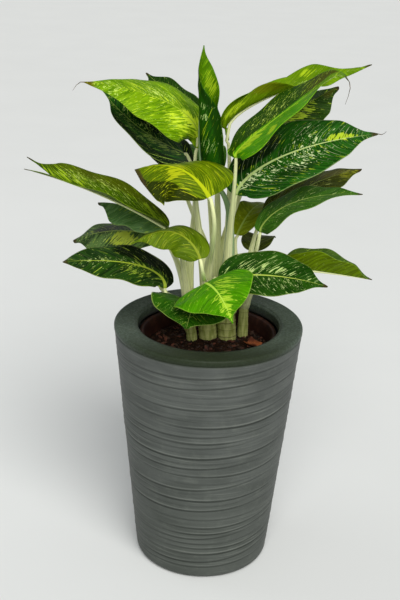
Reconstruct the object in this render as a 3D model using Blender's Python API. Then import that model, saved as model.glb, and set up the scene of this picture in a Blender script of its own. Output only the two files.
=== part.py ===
"""A dumb cane in its grower's pot, in a tall ribbed planter. Metres, +Z up, the floor at Z = 0."""

import math

import bmesh
import bpy
from mathutils import Matrix, Vector

UP = Vector((0, 0, 1))
GAP = 0.0003

# Floor planter: a tapered wall, a wide flat rim turned inwards, and a moulded shelf for the grower's pot.
PLANTER_HEIGHT = 0.480
RIM_RADIUS = 0.175
BASE_RADIUS = 0.128
OPENING_RADIUS = 0.131
WALL = 0.006
RIM_BAND = 0.012
GROOVE_DEPTH = 0.0025
RIM_ROUND = 0.005
FOOT_ROUND = 0.012
SHELF_TOP = 0.215
SHELF_THICKNESS = 0.006
DRAIN_RADIUS = 0.015
PLANTER_SIDES = 48
WALL_RINGS = 30
RIDGE_HEIGHT = 0.0011

# Grower's pot: thin plastic with a rolled rim, standing on the shelf.
POT_HEIGHT = 0.246
POT_RIM_RADIUS = 0.1275
POT_TOP_RADIUS = 0.121
POT_BASE_RADIUS = 0.098
POT_WALL = 0.0016
POT_RIM_DROP = 0.009
POT_SIDES = 32

# Soil: a low mound that fills the grower's pot to a few centimetres below its rim.
SOIL_TOP = 0.430
SOIL_MOUND = 0.006
SOIL_SIDES = 32
ROOT_DEPTH = 0.040

# Blades and petioles.
BLADE = 0.0008
BLADE_ROWS = 12
NECK = 0.0035
DRIP_TIP = 0.0009
DRIP_LENGTH = 0.17
HOOK_START = 0.85
FORK_LIFT = 0.022
FORK_SLIT = 0.15
PETIOLE_END = 0.0030
PETIOLE_FOOT = 0.0062
PETIOLE_SIDES = 6
PETIOLE_STEPS = 7
CANE_SIDES = 10

# Each cane: its foot on the soil, its top, and its radius at the foot.
CANES = {
    "shoot_left": dict(foot=(-0.030, 0.020), top=(-0.038, 0.020, 0.500), radius=0.0095),
    "shoot_centre_left": dict(foot=(0.000, 0.028), top=(-0.006, 0.026, 0.520), radius=0.0160),
    "shoot_centre": dict(foot=(0.036, 0.032), top=(0.032, 0.034, 0.530), radius=0.0165),
    "shoot_right": dict(foot=(0.066, 0.048), top=(0.067, 0.052, 0.510), radius=0.0095),
    "shoot_back": dict(foot=(0.014, 0.072), top=(0.012, 0.080, 0.520), radius=0.0110),
}

# Each leaf: its shoot, where its blade starts and ends, and how the blade bows, turns, cups and waves.
# face is the way its upper side looks at the base and at the tip.
# Angles are in degrees and lengths in metres.
LEAVES = {
    "leaf_crown_left": dict(
        tint="lime", shoot="shoot_centre_left", base=(-0.031, 0.019, 0.803),
        tip=(-0.223, -0.030, 0.922), arch=0.043, crest=0.32, width=0.122, widest=0.36,
        face=((0, -0.5, 0.9), (0, -0.5, 0.9)), fold=(-2, -10), cup=(-40, -20), drip=0.60, drawn=0.7,
        lobe=0.010,
    ),
    "leaf_back_high_left": dict(
        shoot="shoot_back", base=(-0.022, 0.060, 0.836), tip=(-0.128, 0.130, 0.912), arch=0.0,
        width=0.078, widest=0.45, face=((0, 0, 1), (0, -0.3, 0.9)),
    ),
    "leaf_left_shaded": dict(
        shoot="shoot_left", base=(-0.055, 0.050, 0.786), tip=(-0.206, 0.080, 0.892), arch=-0.006,
        sway=-0.025, width=0.150, widest=0.36, face=((0, -0.3, 1), (0, -0.2, 1)), fold=(2, 22),
        drip=0.72, skew=-0.12, lobe=0.022,
    ),
    "leaf_back_left": dict(
        shoot="shoot_back", base=(-0.060, 0.100, 0.728), tip=(-0.150, 0.220, 0.770), arch=0.030,
        width=0.090,
    ),
    "leaf_young": dict(
        tint="lime", shoot="shoot_centre", base=(0.009, 0.010, 0.730), tip=(-0.024, -0.010, 0.986),
        arch=-0.027, crest=0.25, width=0.126, widest=0.33, face=((1, 0.4, 0), (0.8, -1, 0)),
        fold=(0, 0), cup=(240, 370, 390, 390, 380, 330, 190, 110, 40), wave=0.001, lobe=0.0,
        drip=0.86, stalk=1.5, roll=-0.14, columns=10,
    ),
    "leaf_crown_right": dict(
        tint="lime", shoot="shoot_centre", base=(0.024, 0.058, 0.809), tip=(0.273, 0.078, 0.948),
        arch=0.038, crest=0.24, width=0.080, widest=0.50, face=((0, 0.1, 1), (0, -0.4, 1)),
        fold=(0, 0), cup=(350, 330, 50, -5, -20), lobe=0.0, wave=0.010, waves=1.5, phase=0.2,
        drip=0.66, drawn=0.2, skew=0.08, columns=8,
    ),
    "leaf_right_bright": dict(
        tint="lime", shoot="shoot_centre", base=(0.037, -0.046, 0.804), tip=(0.221, -0.036, 0.967),
        arch=0.010, crest=0.22, width=0.125, widest=0.38, face=((0, -0.18, 0.8), (0, 0.05, 1)),
        fold=(4, 10), hook=0.030, lobe=0.004, drip=0.78, drawn=0.75, skew=0.07,
    ),
    "leaf_right_behind": dict(
        shoot="shoot_back", base=(0.085, 0.080, 0.790), tip=(0.223, 0.120, 0.900), arch=0.012,
        width=0.080, widest=0.55, face=((0, -0.6, 0.8), (0, -0.6, 0.8)), fold=(-35, -35),
    ),
    "leaf_right_large": dict(
        shoot="shoot_centre", base=(0.041, -0.010, 0.728), tip=(0.281, -0.010, 0.845), arch=0.031,
        crest=0.38, width=0.121, widest=0.42, face=((0, -0.7, 0.7), (0, -0.5, 0.8)), fold=(-5, 4),
    ),
    "leaf_right_olive": dict(
        tint="olive", shoot="shoot_right", base=(0.098, 0.070, 0.668), tip=(0.270, 0.070, 0.761),
        arch=0.014, width=0.110, widest=0.5, face=((0, -0.2, 1), (0, -0.1, 1)), fold=(5, -12),
    ),
    "leaf_right_middle": dict(
        tint="olive", shoot="shoot_right", base=(0.086, -0.020, 0.664), tip=(0.259, -0.040, 0.745),
        arch=0.029, crest=0.4, width=0.088, face=((0, -0.3, 1), (0, 0, 1)), fold=(-5, 10),
    ),
    "leaf_back_right": dict(
        tint="olive", shoot="shoot_right", base=(0.049, 0.080, 0.624), tip=(0.122, 0.200, 0.643),
        arch=0.030, width=0.060,
    ),
    "leaf_back_low": dict(
        shoot="shoot_right", base=(0.082, 0.120, 0.580), tip=(0.112, 0.210, 0.570), arch=0.020,
        width=0.060,
    ),
    "leaf_front_high": dict(
        tint="olive", shoot="shoot_centre_left", base=(-0.007, -0.126, 0.757),
        tip=(-0.132, -0.106, 0.794), arch=0.020, crest=0.5, sway=0.026, width=0.150, widest=0.50,
        skew=0.22, face=((-0.25, -0.3, 0.75), (0, -0.2, 1)), fold=(-6, -26), cup=(-30, -30), lobe=0.0,
        drip=0.9,
    ),
    "leaf_left_long": dict(
        tint="olive", shoot="shoot_left", base=(-0.077, -0.030, 0.669), tip=(-0.324, -0.060, 0.777),
        arch=0.010, width=0.096, widest=0.46, face=((0, -0.1, 1), (0, -0.1, 1)), fold=(25, 22),
        fork=0.82,
    ),
    "leaf_left_slender": dict(
        shoot="shoot_left", base=(-0.087, 0.000, 0.657), tip=(-0.206, 0.020, 0.697), arch=0.015,
        width=0.075, widest=0.6, face=((0, -0.2, 1), (0, -0.2, 1)), fold=(-35, -35),
    ),
    "leaf_left_lower": dict(
        shoot="shoot_left", base=(-0.094, 0.040, 0.629), tip=(-0.257, 0.060, 0.609), arch=0.016,
        width=0.085, widest=0.6, face=((0, -0.4, 0.9), (0, -0.4, 0.9)), fold=(-20, -20),
    ),
    "leaf_front_olive": dict(
        tint="olive", shoot="shoot_centre_left", base=(-0.019, -0.118, 0.645),
        tip=(-0.136, -0.124, 0.670), arch=0.030, crest=0.45, sway=0.020, width=0.072,
        face=((-0.2, -0.5, 0.9), (0, -0.2, 1)), fold=(-5, -35), cup=(-20, -30), lobe=0.018,
    ),
    "leaf_left_lowest": dict(
        shoot="shoot_left", base=(-0.080, -0.050, 0.563), tip=(-0.258, -0.080, 0.618), arch=0.024,
        crest=0.3, sway=0.015, width=0.098, face=((0.1, -0.35, 1), (0, -0.35, 1)), fold=(0, -5),
        drip=0.9,
    ),
    "leaf_right_low": dict(
        shoot="shoot_centre", base=(0.014, -0.050, 0.586), tip=(0.201, -0.120, 0.602), arch=0.012,
        crest=0.5, width=0.102, face=((0, -0.5, 0.9), (0, -0.5, 0.9)), fold=(12, 0),
    ),
    "leaf_right_lowest": dict(
        tint="olive", shoot="shoot_right", base=(0.134, 0.040, 0.578), tip=(0.299, 0.020, 0.565),
        arch=0.002, width=0.094, face=((0, 0.2, 1), (0, 0.2, 1)), fold=(58, 40), lobe=0.004,
    ),
    "leaf_front_bright": dict(
        tint="lime", shoot="shoot_centre_left", base=(-0.009, -0.090, 0.591),
        tip=(0.038, -0.220, 0.571), arch=0.015, width=0.142, widest=0.3,
        face=((-0.35, -0.15, 1), (-0.35, -0.15, 1)), fold=(-5, 0), lobe=0.022,
    ),
    "leaf_front_lowest": dict(
        shoot="shoot_centre_left", base=(-0.024, -0.075, 0.544), tip=(-0.039, -0.165, 0.531),
        arch=0.012, width=0.148, widest=0.35, face=((0.10, -0.1, 1), (0.10, -0.1, 1)), lobe=0.020,
    ),
    "leaf_hidden_right": dict(
        shoot="shoot_back", base=(0.050, 0.110, 0.700), tip=(0.170, 0.270, 0.720), arch=0.030,
        width=0.090,
    ),
    "leaf_hidden_left": dict(
        shoot="shoot_left", base=(-0.100, 0.090, 0.518), tip=(-0.220, 0.180, 0.510), arch=0.025,
        width=0.070,
    ),
    "leaf_hidden_back": dict(
        shoot="shoot_back", base=(-0.010, 0.120, 0.720), tip=(-0.040, 0.290, 0.730), arch=0.035,
        width=0.085,
    ),
    "leaf_hidden_low_right": dict(
        shoot="shoot_right", base=(0.099, 0.100, 0.545), tip=(0.200, 0.200, 0.500), arch=0.020,
        width=0.075,
    ),
}
BLADE_USUAL = dict(
    crest=0.5, sway=0.0, face=((0, 0, 1), (0, 0, 1)), fold=(10, 0), cup=(0, 0), wave=0.003, waves=2.5,
    phase=0.0, widest=0.4, lobe=0.012, hook=0.0, stalk=1.0, roll=0.0, columns=4, fork=0.0,
    drip=0.78, drawn=0.3, skew=0.0, tint="green",
)

LEAF_COLOURS = {"lime": (0.19, 0.33, 0.02), "green": (0.025, 0.10, 0.02), "olive": (0.11, 0.14, 0.015)}


def painted(name, colour, roughness, metallic=0.0):
    material = bpy.data.materials.new(name)
    material.use_nodes = True
    shader = material.node_tree.nodes["Principled BSDF"]
    shader.inputs["Base Color"].default_value = (*colour, 1.0)
    shader.inputs["Roughness"].default_value = roughness
    shader.inputs["Metallic"].default_value = metallic
    return material


def made(name, bm, material, smooth=True):
    """The bmesh as a named object of the scene, its faces outward."""
    bmesh.ops.recalc_face_normals(bm, faces=bm.faces)
    mesh = bpy.data.meshes.new(name)
    bm.to_mesh(mesh)
    bm.free()
    mesh.materials.append(material)
    mesh.polygons.foreach_set("use_smooth", [smooth] * len(mesh.polygons))
    thing = bpy.data.objects.new(name, mesh)
    bpy.context.collection.objects.link(thing)
    return thing


def arc(centre, radius, start, end, steps):
    """Points (radius, height) of an arc, angles in degrees from +R towards +Z."""
    angles = [math.radians(start + (end - start) * k / steps) for k in range(steps + 1)]
    return [(centre[0] + radius * math.cos(a), centre[1] + radius * math.sin(a)) for a in angles]


def turned(profile, sides):
    """A closed profile of (radius, height) points spun once round the Z axis."""
    bm = bmesh.new()
    points = [bm.verts.new((radius, 0, height)) for radius, height in profile]
    edges = [bm.edges.new((points[k - 1], points[k])) for k in range(len(points))]
    bmesh.ops.spin(
        bm, geom=points + edges, cent=(0, 0, 0), axis=(0, 0, 1), angle=2 * math.pi,
        steps=sides, use_merge=True,
    )
    bmesh.ops.remove_doubles(bm, verts=bm.verts, dist=1e-6)
    return bm


def outer_radius(height):
    """The planter's wall, straight from its foot to its rim."""
    return BASE_RADIUS + (RIM_RADIUS - BASE_RADIUS) * height / PLANTER_HEIGHT


def ridge(height, turn):
    """Relief of the wall: slanting ribs of uneven width that fade in at the foot and out at the rim."""
    slant = 0.004 * math.sin(turn + 0.6) + 0.002 * math.sin(2 * turn - 1.0)
    wide = math.sin(2 * math.pi * (height + slant) / 0.047)
    fine = math.sin(2 * math.pi * (height - 1.4 * slant) / 0.031 + 1.2)
    top = PLANTER_HEIGHT - RIM_BAND
    fade = min(1.0, height / 0.03, max(0.0, (top - height) / 0.02))
    return RIDGE_HEIGHT * fade * (0.6 * wide + 0.4 * fine)


def planter():
    top = PLANTER_HEIGHT
    groove = top - RIM_BAND
    rise = (groove - 0.004 - FOOT_ROUND) / WALL_RINGS
    foot = arc((BASE_RADIUS - FOOT_ROUND + 0.001, FOOT_ROUND), FOOT_ROUND, -90, -8, 4)
    wall = [(outer_radius(z), z) for z in (FOOT_ROUND + rise * k for k in range(1, WALL_RINGS + 1))]
    band = [(RIM_RADIUS - GROOVE_DEPTH, groove), (RIM_RADIUS, groove + 0.002)]
    edge = arc((RIM_RADIUS - RIM_ROUND, top - RIM_ROUND), RIM_ROUND, 0, 90, 3)
    lip = arc((OPENING_RADIUS + 0.004, top - 0.005), 0.004, 90, 180, 3)
    under = [(OPENING_RADIUS, top - 0.018), (OPENING_RADIUS + WALL, top - 0.024)]
    under += [(outer_radius(top - 0.024) - WALL - 0.004, top - 0.024)]
    shelf = SHELF_TOP
    cavity = [(outer_radius(shelf) - WALL, shelf), (DRAIN_RADIUS, shelf)]
    chamber = [
        (DRAIN_RADIUS, shelf - SHELF_THICKNESS),
        (outer_radius(shelf - SHELF_THICKNESS) - WALL, shelf - SHELF_THICKNESS),
        (BASE_RADIUS - WALL, WALL + 0.006),
        (BASE_RADIUS - WALL - 0.008, WALL),
        (0.0, WALL),
        (0.0, 0.0),
    ]
    bm = turned(foot + wall + band + edge + lip + under + cavity + chamber, PLANTER_SIDES)
    for vert in bm.verts:
        x, y, z = vert.co
        radius = math.hypot(x, y)
        if FOOT_ROUND < z < groove - 0.001 and radius > outer_radius(z) - 0.5 * WALL:
            grown = 1 + ridge(z, math.atan2(y, x)) / radius
            vert.co.x, vert.co.y = x * grown, y * grown
    return made("planter", bm, painted("planter_resin", (0.060, 0.074, 0.072), 0.5))


def grower_pot():
    low = SHELF_TOP + GAP
    high = low + POT_HEIGHT
    inner_top = POT_TOP_RADIUS - POT_WALL
    profile = [
        (DRAIN_RADIUS, low),
        (POT_BASE_RADIUS - 0.004, low),
        (POT_BASE_RADIUS, low + 0.004),
        (POT_TOP_RADIUS, high - POT_RIM_DROP),
        (POT_RIM_RADIUS, high - POT_RIM_DROP),
        (POT_RIM_RADIUS, high - 0.001),
        (POT_RIM_RADIUS - 0.001, high),
        (POT_TOP_RADIUS + 0.001, high),
        (inner_top, high - 0.003),
        (POT_BASE_RADIUS - POT_WALL, low + 0.005),
        (POT_BASE_RADIUS - 0.005, low + POT_WALL),
        (DRAIN_RADIUS, low + POT_WALL),
    ]
    bm = turned(profile, POT_SIDES)
    return made("grower_pot", bm, painted("terracotta_plastic", (0.10, 0.032, 0.018), 0.6))


def pot_inside(height):
    """Inner radius of the grower's pot at a height."""
    low = SHELF_TOP + GAP + 0.005
    high = SHELF_TOP + GAP + POT_HEIGHT - 0.003
    share = (height - low) / (high - low)
    return (POT_BASE_RADIUS + (POT_TOP_RADIUS - POT_BASE_RADIUS) * share) - POT_WALL


def soil_height(x, y):
    """The mound's top, highest in the middle, with low hummocks."""
    mound = SOIL_MOUND * (1 - (x * x + y * y) / POT_TOP_RADIUS**2)
    return SOIL_TOP + mound + 0.0015 * math.sin(61 * x + 1.0) * math.cos(47 * y - 0.4)


def soil():
    low = SHELF_TOP + GAP + 0.005 + 2 * GAP
    side = [(pot_inside(z) - 2 * GAP, z) for z in (low, SOIL_TOP)]
    crown = [(pot_inside(SOIL_TOP) * share, SOIL_TOP + 0.001) for share in (0.78, 0.52, 0.26)]
    bm = turned([(0.0, low)] + side + crown + [(0.0, SOIL_TOP + 0.001)], SOIL_SIDES)
    for vert in bm.verts:
        if vert.co.z > SOIL_TOP + 0.0005:
            vert.co.z = soil_height(vert.co.x, vert.co.y)
    ground = made("soil", bm, painted("dark_compost", (0.035, 0.018, 0.010), 0.95), smooth=False)
    for name, cane in CANES.items():
        bored(ground, name, cane)
    return ground


def bored(ground, name, cane):
    """A plain hole for a cane's foot, cut with a hidden cylinder."""
    bm = bmesh.new()
    foot = Vector((*cane["foot"], SOIL_TOP - ROOT_DEPTH))
    bmesh.ops.create_cone(
        bm, cap_ends=True, segments=CANE_SIDES, radius1=cane["radius"] + 0.0006,
        radius2=cane["radius"] + 0.0006, depth=2 * ROOT_DEPTH,
        matrix=Matrix.Translation(foot + UP * (ROOT_DEPTH - GAP)),
    )
    cutter = made("hole_" + name, bm, ground.data.materials[0], smooth=False)
    cutter.hide_render = True
    cutter.display_type = "WIRE"
    cut = ground.modifiers.new("hole_" + name, "BOOLEAN")
    cut.operation = "DIFFERENCE"
    cut.solver = "EXACT"
    cut.object = cutter


def tube(bm, path, radii, sides):
    """Adds a round tube along the points, closed at both ends."""
    along = (path[1] - path[0]).normalized()
    turn = UP.rotation_difference(along)
    place = Matrix.Translation(path[0]) @ turn.to_matrix().to_4x4() @ Matrix.Scale(radii[0], 4)
    ring = bmesh.ops.create_circle(bm, cap_ends=True, segments=sides, radius=1.0, matrix=place)["verts"]
    edges = [edge for edge in bm.edges if edge.verts[0] in ring and edge.verts[1] in ring]
    for k in range(1, len(path)):
        ahead = path[min(k + 1, len(path) - 1)] - path[k - 1]
        turn = along.rotation_difference(ahead) @ turn
        along = ahead.normalized()
        moved = Matrix.Translation(path[k]) @ turn.to_matrix().to_4x4() @ Matrix.Scale(radii[k], 4)
        grown = bmesh.ops.extrude_edge_only(bm, edges=edges)["geom"]
        ring = [item for item in grown if isinstance(item, bmesh.types.BMVert)]
        edges = [item for item in grown if isinstance(item, bmesh.types.BMEdge) and item.is_boundary]
        bmesh.ops.transform(bm, matrix=moved @ place.inverted(), verts=ring)
        place = moved
    bmesh.ops.edgeloop_fill(bm, edges=edges)


def settled(name):
    """A leaf's own values over the usual ones."""
    return {**BLADE_USUAL, **LEAVES[name]}


def between(values, t):
    """A value of evenly spaced ones, read at t from 0 to 1."""
    place = t * (len(values) - 1)
    k = min(int(place), len(values) - 2)
    return values[k] + (values[k + 1] - values[k]) * (place - k)


def rib_point(leaf, t):
    """The midrib, bowed up and to one side of the straight line from base to tip."""
    base, tip = Vector(leaf["base"]), Vector(leaf["tip"])
    chord = tip - base
    side = chord.cross(UP).normalized()
    lift = side.cross(chord).normalized()
    s = t ** (math.log(0.5) / math.log(leaf["crest"]))
    bow = 4 * s * (1 - s)
    nod = max(0.0, (t - HOOK_START) / (1 - HOOK_START)) ** 2
    bowed = lift * leaf["arch"] + side * leaf["sway"]
    return base + chord * t + bowed * bow - UP * leaf["hook"] * nod


def rib_direction(leaf, t):
    step = 0.02
    return (rib_point(leaf, min(t + step, 1.0)) - rib_point(leaf, max(t - step, 0.0))).normalized()


def half_width(leaf, t, across=0.0):
    """Half the blade's width at t, with the skew putting one side's widest place nearer the tip."""
    m = leaf["widest"] - leaf["skew"] * math.copysign(1.0, across)
    rise = 0.55
    shape = (t / m) ** rise * ((1 - t) / (1 - m)) ** (rise * (1 - m) / m)
    drip = min(1.0, max(0.0, (t - leaf["drip"]) / DRIP_LENGTH))
    drawn = 1 - (1 - leaf["drawn"]) * drip * drip * (3 - 2 * drip)
    return NECK * (1 - t) + DRIP_TIP * t + 0.5 * leaf["width"] * shape * drawn


def blade_point(leaf, t, across):
    """A point of the blade: t runs from base to tip, across from -1 to 1."""
    along = rib_direction(leaf, t)
    face = Vector(leaf["face"][0]).lerp(Vector(leaf["face"][1]), t)
    right = along.cross(face).normalized()
    normal = right.cross(along)
    reach = abs(across) * half_width(leaf, t, across)
    cup = 0.5 * math.radians(between(leaf["cup"], t))
    bend = cup * abs(across)
    out = reach if abs(cup) < 0.01 else reach * math.sin(bend) / bend if across else 0.0
    up = 0.0 if abs(cup) < 0.01 or not across else reach * (1 - math.cos(bend)) / bend
    if leaf["roll"]:
        centre = half_width(leaf, t, across) / cup
        swell = 1 + leaf["roll"] * across * min(1.0, cup / math.pi)
        out, up = out * swell, centre + (up - centre) * swell
    fold = math.radians(between(leaf["fold"], t))
    out, up = out * math.cos(fold) - up * math.sin(fold), out * math.sin(fold) + up * math.cos(fold)
    edge = math.sin(2 * math.pi * (leaf["waves"] * t + leaf["phase"] + 0.3 * (across > 0)))
    up += leaf["wave"] * across * across * edge * math.sin(math.pi * t) ** 0.5
    if leaf["fork"] and across > 0:
        up += FORK_LIFT * max(0.0, (t - leaf["fork"]) / (1 - leaf["fork"]))
    back = leaf["lobe"] * max(0.0, reach - NECK) / (0.5 * leaf["width"]) * (1 - t) ** 3
    return rib_point(leaf, t) + right * math.copysign(out, across) + normal * up - along * back


def row_place(share):
    """Rows lie closer together at the base and the tip, where the outline turns."""
    return 0.5 * share + 0.25 * (1 - math.cos(math.pi * share))


def blade(name):
    leaf = settled(name)
    bm = bmesh.new()
    bmesh.ops.create_grid(bm, x_segments=leaf["columns"], y_segments=BLADE_ROWS, size=1.0)
    middles = {}
    for face in bm.faces:
        middle = face.calc_center_median()
        middles[face] = Vector((middle.x, row_place((middle.y + 1) / 2), 0))
    for vert in bm.verts:
        t = row_place((vert.co.y + 1) / 2)
        across = vert.co.x
        if leaf["fork"] and t > leaf["fork"] and 0.1 < across < 0.9:
            across = FORK_SLIT
        vert.co = blade_point(leaf, t, across)
    if leaf["fork"]:
        past = [face for face, middle in middles.items() if middle.y > leaf["fork"]]
        slit = [face for face in past if 0 < middles[face].x < 0.5]
        bmesh.ops.delete(bm, geom=slit, context="FACES")
    bmesh.ops.triangulate(bm, faces=bm.faces, quad_method="SHORT_EDGE")
    bmesh.ops.recalc_face_normals(bm, faces=bm.faces)
    mesh = bpy.data.meshes.new(name)
    bm.to_mesh(mesh)
    bm.free()
    mesh.materials.append(LEAF_PAINT[leaf["tint"]])
    mesh.polygons.foreach_set("use_smooth", [True] * len(mesh.polygons))
    thing = bpy.data.objects.new(name, mesh)
    bpy.context.collection.objects.link(thing)
    thick = thing.modifiers.new("thickness", "SOLIDIFY")
    thick.thickness = BLADE
    thick.offset = 0.0
    return thing


def bezier(a, b, c, d, t):
    s = 1 - t
    return a * s**3 + b * (3 * s * s * t) + c * (3 * s * t * t) + d * t**3


def petiole(leaf, cane):
    """A leaf stalk from inside its cane to just short of its blade."""
    ahead = rib_direction(leaf, 0.0)
    end = rib_point(leaf, 0.0) - ahead * GAP
    neck = end - ahead * 2 * PETIOLE_END
    foot = Vector((*cane["foot"], SOIL_TOP))
    top = Vector(cane["top"])
    start = foot.lerp(top, 0.62)
    reach = (neck - start).length
    leave = start + (top - foot).normalized() * reach * 0.45
    arrive = neck - (ahead + UP).normalized() * reach * 0.25
    bm = bmesh.new()
    shares = [k / PETIOLE_STEPS for k in range(PETIOLE_STEPS + 1)]
    path = [bezier(start, leave, arrive, neck, share) for share in shares] + [end]
    radii = [PETIOLE_FOOT + (PETIOLE_END - PETIOLE_FOOT) * share**0.8 for share in shares] + [PETIOLE_END]
    tube(bm, path, [radius * leaf["stalk"] for radius in radii], PETIOLE_SIDES)
    return bm


def shoot(name, cane):
    """A cane with its leaf stalks, joined into one solid."""
    green = painted(name + "_green", (0.42, 0.50, 0.25), 0.45)
    foot = Vector((*cane["foot"], SOIL_TOP - ROOT_DEPTH + GAP))
    top = Vector(cane["top"])
    knee = Vector((*cane["foot"], SOIL_TOP + 0.006))
    bm = bmesh.new()
    path = [foot, knee, knee.lerp(top, 0.35), knee.lerp(top, 0.7), top]
    tube(bm, path, [cane["radius"] * share for share in (1.0, 1.0, 0.92, 0.8, 0.4)], CANE_SIDES)
    stem = made(name, bm, green)
    stalks = bpy.data.collections.new(name + "_stalks")
    for leaf_name in LEAVES:
        leaf = settled(leaf_name)
        if leaf["shoot"] == name:
            stalk = made("stalk_" + leaf_name, petiole(leaf, cane), green)
            bpy.context.collection.objects.unlink(stalk)
            stalks.objects.link(stalk)
    bpy.context.scene.collection.children.link(stalks)
    join = stem.modifiers.new("join", "BOOLEAN")
    join.operation = "UNION"
    join.solver = "EXACT"
    join.operand_type = "COLLECTION"
    join.collection = stalks
    bpy.context.view_layer.update()
    graph = bpy.context.evaluated_depsgraph_get()
    joined = bpy.data.meshes.new_from_object(stem.evaluated_get(graph))
    stem.modifiers.clear()
    stem.data = joined
    for stalk in list(stalks.objects):
        bpy.data.objects.remove(stalk)
    bpy.data.collections.remove(stalks)
    return stem


for thing in list(bpy.data.objects):
    bpy.data.objects.remove(thing)
LEAF_PAINT = {tint: painted("leaf_" + tint, colour, 0.4) for tint, colour in LEAF_COLOURS.items()}
planter()
grower_pot()
soil()
for shoot_name, shoot_cane in CANES.items():
    shoot(shoot_name, shoot_cane)
for leaf_name in LEAVES:
    blade(leaf_name)
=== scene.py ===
"""The looks of a potted dumb cane in a ribbed floor planter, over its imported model. Metres, Z up."""

import math
import random
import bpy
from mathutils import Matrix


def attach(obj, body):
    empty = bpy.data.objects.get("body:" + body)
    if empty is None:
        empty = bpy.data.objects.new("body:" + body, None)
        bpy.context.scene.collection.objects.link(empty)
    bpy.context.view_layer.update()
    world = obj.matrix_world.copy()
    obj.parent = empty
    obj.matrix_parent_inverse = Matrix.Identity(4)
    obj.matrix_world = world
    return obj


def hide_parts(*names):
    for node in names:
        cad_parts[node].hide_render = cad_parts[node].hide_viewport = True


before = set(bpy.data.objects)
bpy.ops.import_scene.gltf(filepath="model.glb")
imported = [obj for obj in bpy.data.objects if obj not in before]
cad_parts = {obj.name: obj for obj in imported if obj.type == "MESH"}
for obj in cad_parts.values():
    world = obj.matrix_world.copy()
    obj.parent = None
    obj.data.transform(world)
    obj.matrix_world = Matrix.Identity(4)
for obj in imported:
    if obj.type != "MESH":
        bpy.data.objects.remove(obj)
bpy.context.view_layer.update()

from types import SimpleNamespace

import bmesh
import bpy
from mathutils import Matrix, Vector

UP = Vector((0, 0, 1))
FRONT = -0.5 * math.pi

# Floor planter, mostly as in the part's source.
PLANTER_HEIGHT = 0.480
RIM_RADIUS = 0.175
BASE_RADIUS = 0.128
OPENING_RADIUS = 0.131
WALL = 0.006
RIM_BAND = 0.012
RIM_ROUND = 0.005
RIM_FLAT = 0.0352
RIM_DIP = 0.0006
LIP_ROUND = 0.004
FLANGE_LOW = 0.024
GROOVE_DEPTH = 0.0025
FOOT_ROUND = 0.012
SHELF_TOP = 0.215
PLANTER_SIDES = 160
WALL_RINGS = 300

# The wall's ribs: how far they stand out, how tall a half of one is, how much it climbs, how near one
# has to be to count, and how many fine ones there are from where to where. Each main rib has its height
# in millimetres and its strength.
RIB_DEPTH = 0.0016
RIB_STEP = 0.0022
RIB_CLIMB = 0.011
RIB_NEAR = 0.045
RIB_STEPS_OUT = 3.2
FINE_RIBS = 54
FINE_RIBS_LOW = 0.016
FINE_RIBS_SPAN = 0.452
RIBS = (
    (444, 0.8), (431, 0.5), (420, 0.8), (406, 0.7), (392, 0.5), (380, 0.9), (368, 0.7), (356, 0.5),
    (344, 1.2), (332, 0.6), (321, 0.8), (308, 0.9), (297, 0.8), (286, 0.5), (275, 1.2), (263, 0.6),
    (252, 0.9), (239, 0.9), (222, 0.6), (205, 0.9), (194, 0.5), (183, 1.0), (171, 0.6), (158, 1.0),
    (140, 0.7), (121, 0.9), (107, 1.0), (94, 0.8), (84, 0.6), (74, 0.9), (60, 1.0), (50, 0.6),
    (40, 0.9), (29, 0.8),
)

# Grower's pot and soil.
POT_HEIGHT = 0.246
POT_RIM_RADIUS = 0.1275
POT_TOP_RADIUS = 0.121
POT_BASE_RADIUS = 0.098
POT_WALL = 0.0016
POT_RIM_DROP = 0.009
GAP = 0.0003
POT_FOOT = 0.004
POT_LIP = 0.003
POT_INNER_START = 0.005
POT_OUTER_RISE = 0.232
POT_INNER_RISE = 0.238
POT_RINGS = 12
POT_SIDES = 96
SOIL_TOP = 0.430
SOIL_MOUND = 0.006
SOIL_WAVE = 0.0015
SOIL_GRAIN = 0.0012
SOIL_RINGS = 40
SOIL_SIDES = 120
STREWN_RADIUS = 0.112
CURL_THICKNESS = 0.0008
CURL_RADIUS = 0.010
CURL_BEND = 1.25
CURL_LENGTH = 0.030

# Blades and stalks.
BLADE = 0.0008
BLADE_ROWS = 84
BLADE_COLUMNS = 28
NECK = 0.0035
DRIP_TIP = 0.0009
DRIP_LENGTH = 0.17
HOOK_START = 0.85
FORK_LIFT = 0.022
PETIOLE_END = 0.0030
PETIOLE_FOOT = 0.0062
STALK_STEPS = 26
MIDRIB_STEPS = 17
MIDRIB_REACH = 0.94
STALK_START = 0.62
CANE_STEPS = 48
CANE_ROOT = 0.030
CANE_KNEE = 0.006
CANE_TAPER = (1.08, 1.0, 0.9, 0.45)
SCARRED_LENGTH = 0.12
FIRST_SCAR = 0.006
SCAR_GAPS = (0.008, 0.016)
SCAR_HALF = 0.0013
QUILT = 0.0007
VEIN_STEP = 0.0085
LINE_STEP = 0.0105

CANES = {
    "shoot_left": dict(foot=(-0.030, 0.020), top=(-0.038, 0.020, 0.500), radius=0.0095),
    "shoot_centre_left": dict(foot=(0.000, 0.028), top=(-0.006, 0.026, 0.520), radius=0.0160),
    "shoot_centre": dict(foot=(0.036, 0.032), top=(0.032, 0.034, 0.530), radius=0.0165),
    "shoot_right": dict(foot=(0.066, 0.048), top=(0.067, 0.052, 0.510), radius=0.0095),
    "shoot_back": dict(foot=(0.014, 0.072), top=(0.012, 0.080, 0.520), radius=0.0110),
}

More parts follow.
